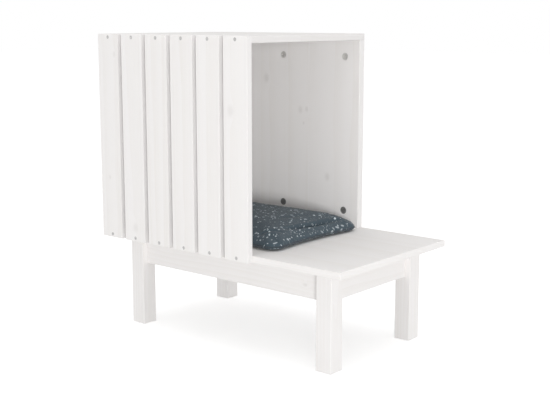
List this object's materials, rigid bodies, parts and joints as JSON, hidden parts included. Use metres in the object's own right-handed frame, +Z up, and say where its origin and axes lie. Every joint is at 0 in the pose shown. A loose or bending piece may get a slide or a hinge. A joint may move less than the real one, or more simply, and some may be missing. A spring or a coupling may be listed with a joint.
{
  "type": "cat house",
  "caption": "Slatted wooden cat house with an open front on a low four-legged bench that runs on as a porch, with a loose cushion inside.",
  "frame": {"origin": "on the floor, under the centre of the bounding box", "axes": "+X across the bench from the slatted side to the solid side wall, +Y along the bench from the open porch end to the back panel, +Z up"},
  "size_m": [0.36, 0.6, 0.6],
  "materials": {
    "painted_pine": "white satin paint",
    "bare_pine": "bare sawn wood",
    "beech_dowel": "bare turned wood",
    "zinc_steel": "zinc plated",
    "zinc_cam": "cast zinc",
    "cushion_fabric": "woven, dark with small pale flecks"
  },
  "bodies": {
    "house": {"apron_front": "painted_pine", "apron_left": "painted_pine", "apron_rear": "painted_pine", "apron_right": "painted_pine", "back_cam_bolts": "zinc_steel", "back_cam_locks": "zinc_cam", "back_dowels": "beech_dowel", "back_panel": "painted_pine", "bench_top": "painted_pine", "block_screws": "zinc_steel", "corner_block_front_left": "bare_pine", "corner_block_front_right": "bare_pine", "corner_block_rear_left": "bare_pine", "corner_block_rear_right": "bare_pine", "hanger_bolts": "zinc_steel", "hanger_nuts": "zinc_steel", "hanger_washers": "zinc_steel", "leg_front_left": "painted_pine", "leg_front_right": "painted_pine", "leg_rear_left": "painted_pine", "leg_rear_right": "painted_pine", "roof_board": "painted_pine", "side_cam_bolts": "zinc_steel", "side_cam_locks": "zinc_cam", "side_dowels": "beech_dowel", "side_wall": "painted_pine", "slat_1": "painted_pine", "slat_2": "painted_pine", "slat_3": "painted_pine", "slat_4": "painted_pine", "slat_5": "painted_pine", "slat_6": "painted_pine", "slat_screws_lower": "zinc_steel", "slat_screws_upper": "zinc_steel", "top_screws": "zinc_steel"},
    "cushion": {"cushion": "cushion_fabric"}
  },
  "joints": [
    {"name": "cushion_slide", "type": "slide", "parent": "house", "child": "cushion", "axis": [0, -1, 0], "range_m": [0, 0.37]}
  ]
}
